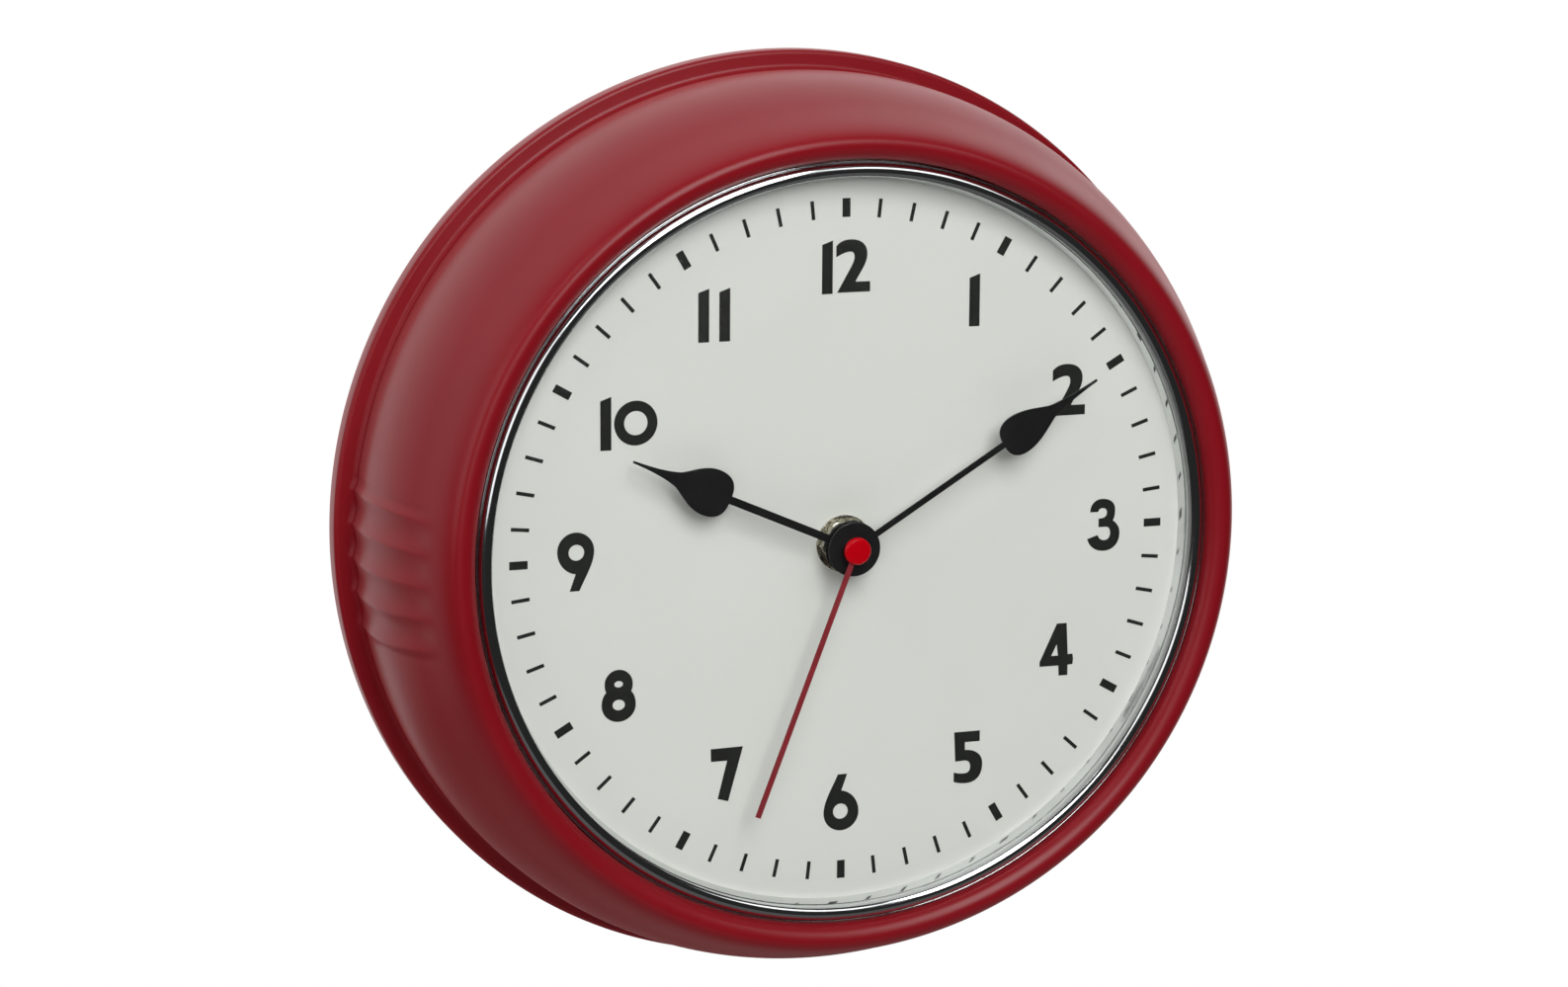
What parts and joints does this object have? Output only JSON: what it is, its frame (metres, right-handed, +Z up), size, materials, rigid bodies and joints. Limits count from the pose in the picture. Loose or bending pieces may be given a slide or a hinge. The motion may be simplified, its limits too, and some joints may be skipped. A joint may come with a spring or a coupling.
{
  "type": "wall clock",
  "caption": "Round retro wall clock: deep red steel case with a flanged back, chrome bezel, domed lens, numbered dial, spade hands and a battery quartz gear train.",
  "frame": {"origin": "where the clock's axis meets the wall plane behind the case", "axes": "+Y runs from the dial into the wall along the clock's axis, +Z is up towards the 12, +X is to the right towards the 3"},
  "size_m": [0.24, 0.0702, 0.24],
  "materials": {
    "red_paint": "semi-gloss deep red paint",
    "bezel_chrome": "polished chrome plate",
    "ring_mirror": "bright drawn metal",
    "gasket_rubber": "matt black rubber",
    "lens_clear": "clear polished",
    "dial_paint": "matt off-white print ground",
    "hand_black": "black lacquered aluminium",
    "hand_red": "red lacquered aluminium",
    "cap_red": "glossy red",
    "brass": "dull turned brass",
    "movement_plastic": "fine textured black",
    "wheel_plastic": "natural white acetal",
    "knob_plastic": "moulded white",
    "arbor_steel": "bright turned brass",
    "magnet": "sintered dark grey",
    "plain_steel": "zinc plated",
    "copper_wire": "enamelled copper wire",
    "board_green": "solder-mask green",
    "chip_resin": "black potting resin",
    "battery_sleeve": "printed sleeve, no marks",
    "cover_black": "black, leather-grain moulding"
  },
  "bodies": {
    "case": {"case_shell": "red_paint", "chrome_bezel": "bezel_chrome", "inner_ring": "ring_mirror", "lens_gasket": "gasket_rubber", "lens": "lens_clear", "dial_plate": "dial_paint", "bush_washer": "gasket_rubber", "brass_washer": "brass", "hex_nut": "brass", "movement_front": "movement_plastic", "movement_plate": "wheel_plastic", "movement_back": "movement_plastic", "stator": "plain_steel", "coil_core": "plain_steel", "coil_bobbin": "wheel_plastic", "coil_winding": "copper_wire", "circuit_board": "board_green", "quartz_crystal": "plain_steel", "driver_chip": "chip_resin", "battery": "battery_sleeve", "plus_contact": "plain_steel", "minus_contact": "plain_steel", "rear_cover": "cover_black", "hanger_plate": "plain_steel", "hanger_rivet_1": "plain_steel", "hanger_rivet_2": "plain_steel", "cover_lug_1": "red_paint", "cover_screw_1": "plain_steel", "cover_lug_2": "red_paint", "cover_screw_2": "plain_steel", "cover_lug_3": "red_paint", "cover_screw_3": "plain_steel", "cover_lug_4": "red_paint", "cover_screw_4": "plain_steel"},
    "second_train": {"second_wheel": "arbor_steel", "second_hand": "hand_red", "hand_cap": "cap_red"},
    "minute_train": {"centre_wheel": "wheel_plastic", "minute_hand": "hand_black"},
    "hour_train": {"hour_wheel": "wheel_plastic", "hour_hand": "hand_black"},
    "third_train": {"third_wheel": "wheel_plastic"},
    "motion_train": {"motion_wheel": "wheel_plastic"},
    "intermediate_train": {"intermediate_wheel": "wheel_plastic"},
    "rotor": {"rotor_pinion": "wheel_plastic", "rotor_magnet": "magnet"},
    "setting_shaft": {"setting_knob": "knob_plastic"}
  },
  "joints": [
    {"name": "second_turn", "type": "hinge", "parent": "case", "child": "second_train", "pos_m": [0, -0.0405, 0], "axis": [0, 1, 0], "continuous": true},
    {"name": "minute_turn", "type": "hinge", "parent": "case", "child": "minute_train", "pos_m": [0, -0.045, 0], "axis": [0, 1, 0], "continuous": true},
    {"name": "hour_turn", "type": "hinge", "parent": "case", "child": "hour_train", "pos_m": [0, -0.0478, 0], "axis": [0, 1, 0], "continuous": true},
    {"name": "third_turn", "type": "hinge", "parent": "case", "child": "third_train", "pos_m": [-0.01057, -0.0436, 0.0061], "axis": [0, 1, 0], "continuous": true},
    {"name": "motion_turn", "type": "hinge", "parent": "case", "child": "motion_train", "pos_m": [0.00831, -0.0464, 0.0048], "axis": [0, 1, 0], "continuous": true},
    {"name": "intermediate_turn", "type": "hinge", "parent": "case", "child": "intermediate_train", "pos_m": [0.00903, -0.0391, 0.00593], "axis": [0, 1, 0], "continuous": true},
    {"name": "rotor_turn", "type": "hinge", "parent": "case", "child": "rotor", "pos_m": [0.00295, -0.0373, 0.014], "axis": [0, 1, 0], "continuous": true},
    {"name": "setting_turn", "type": "hinge", "parent": "case", "child": "setting_shaft", "pos_m": [0.01934, -0.03, 0.0048], "axis": [0, 1, 0], "continuous": true}
  ],
  "couplings": [
    {"joint": "minute_turn", "follows": "second_turn", "ratio": 0.016667},
    {"joint": "hour_turn", "follows": "second_turn", "ratio": 0.0013889},
    {"joint": "third_turn", "follows": "second_turn", "ratio": -0.13333},
    {"joint": "motion_turn", "follows": "second_turn", "ratio": -0.0055556},
    {"joint": "intermediate_turn", "follows": "second_turn", "ratio": -5},
    {"joint": "rotor_turn", "follows": "second_turn", "ratio": 30},
    {"joint": "setting_turn", "follows": "second_turn", "ratio": 0.010417}
  ]
}
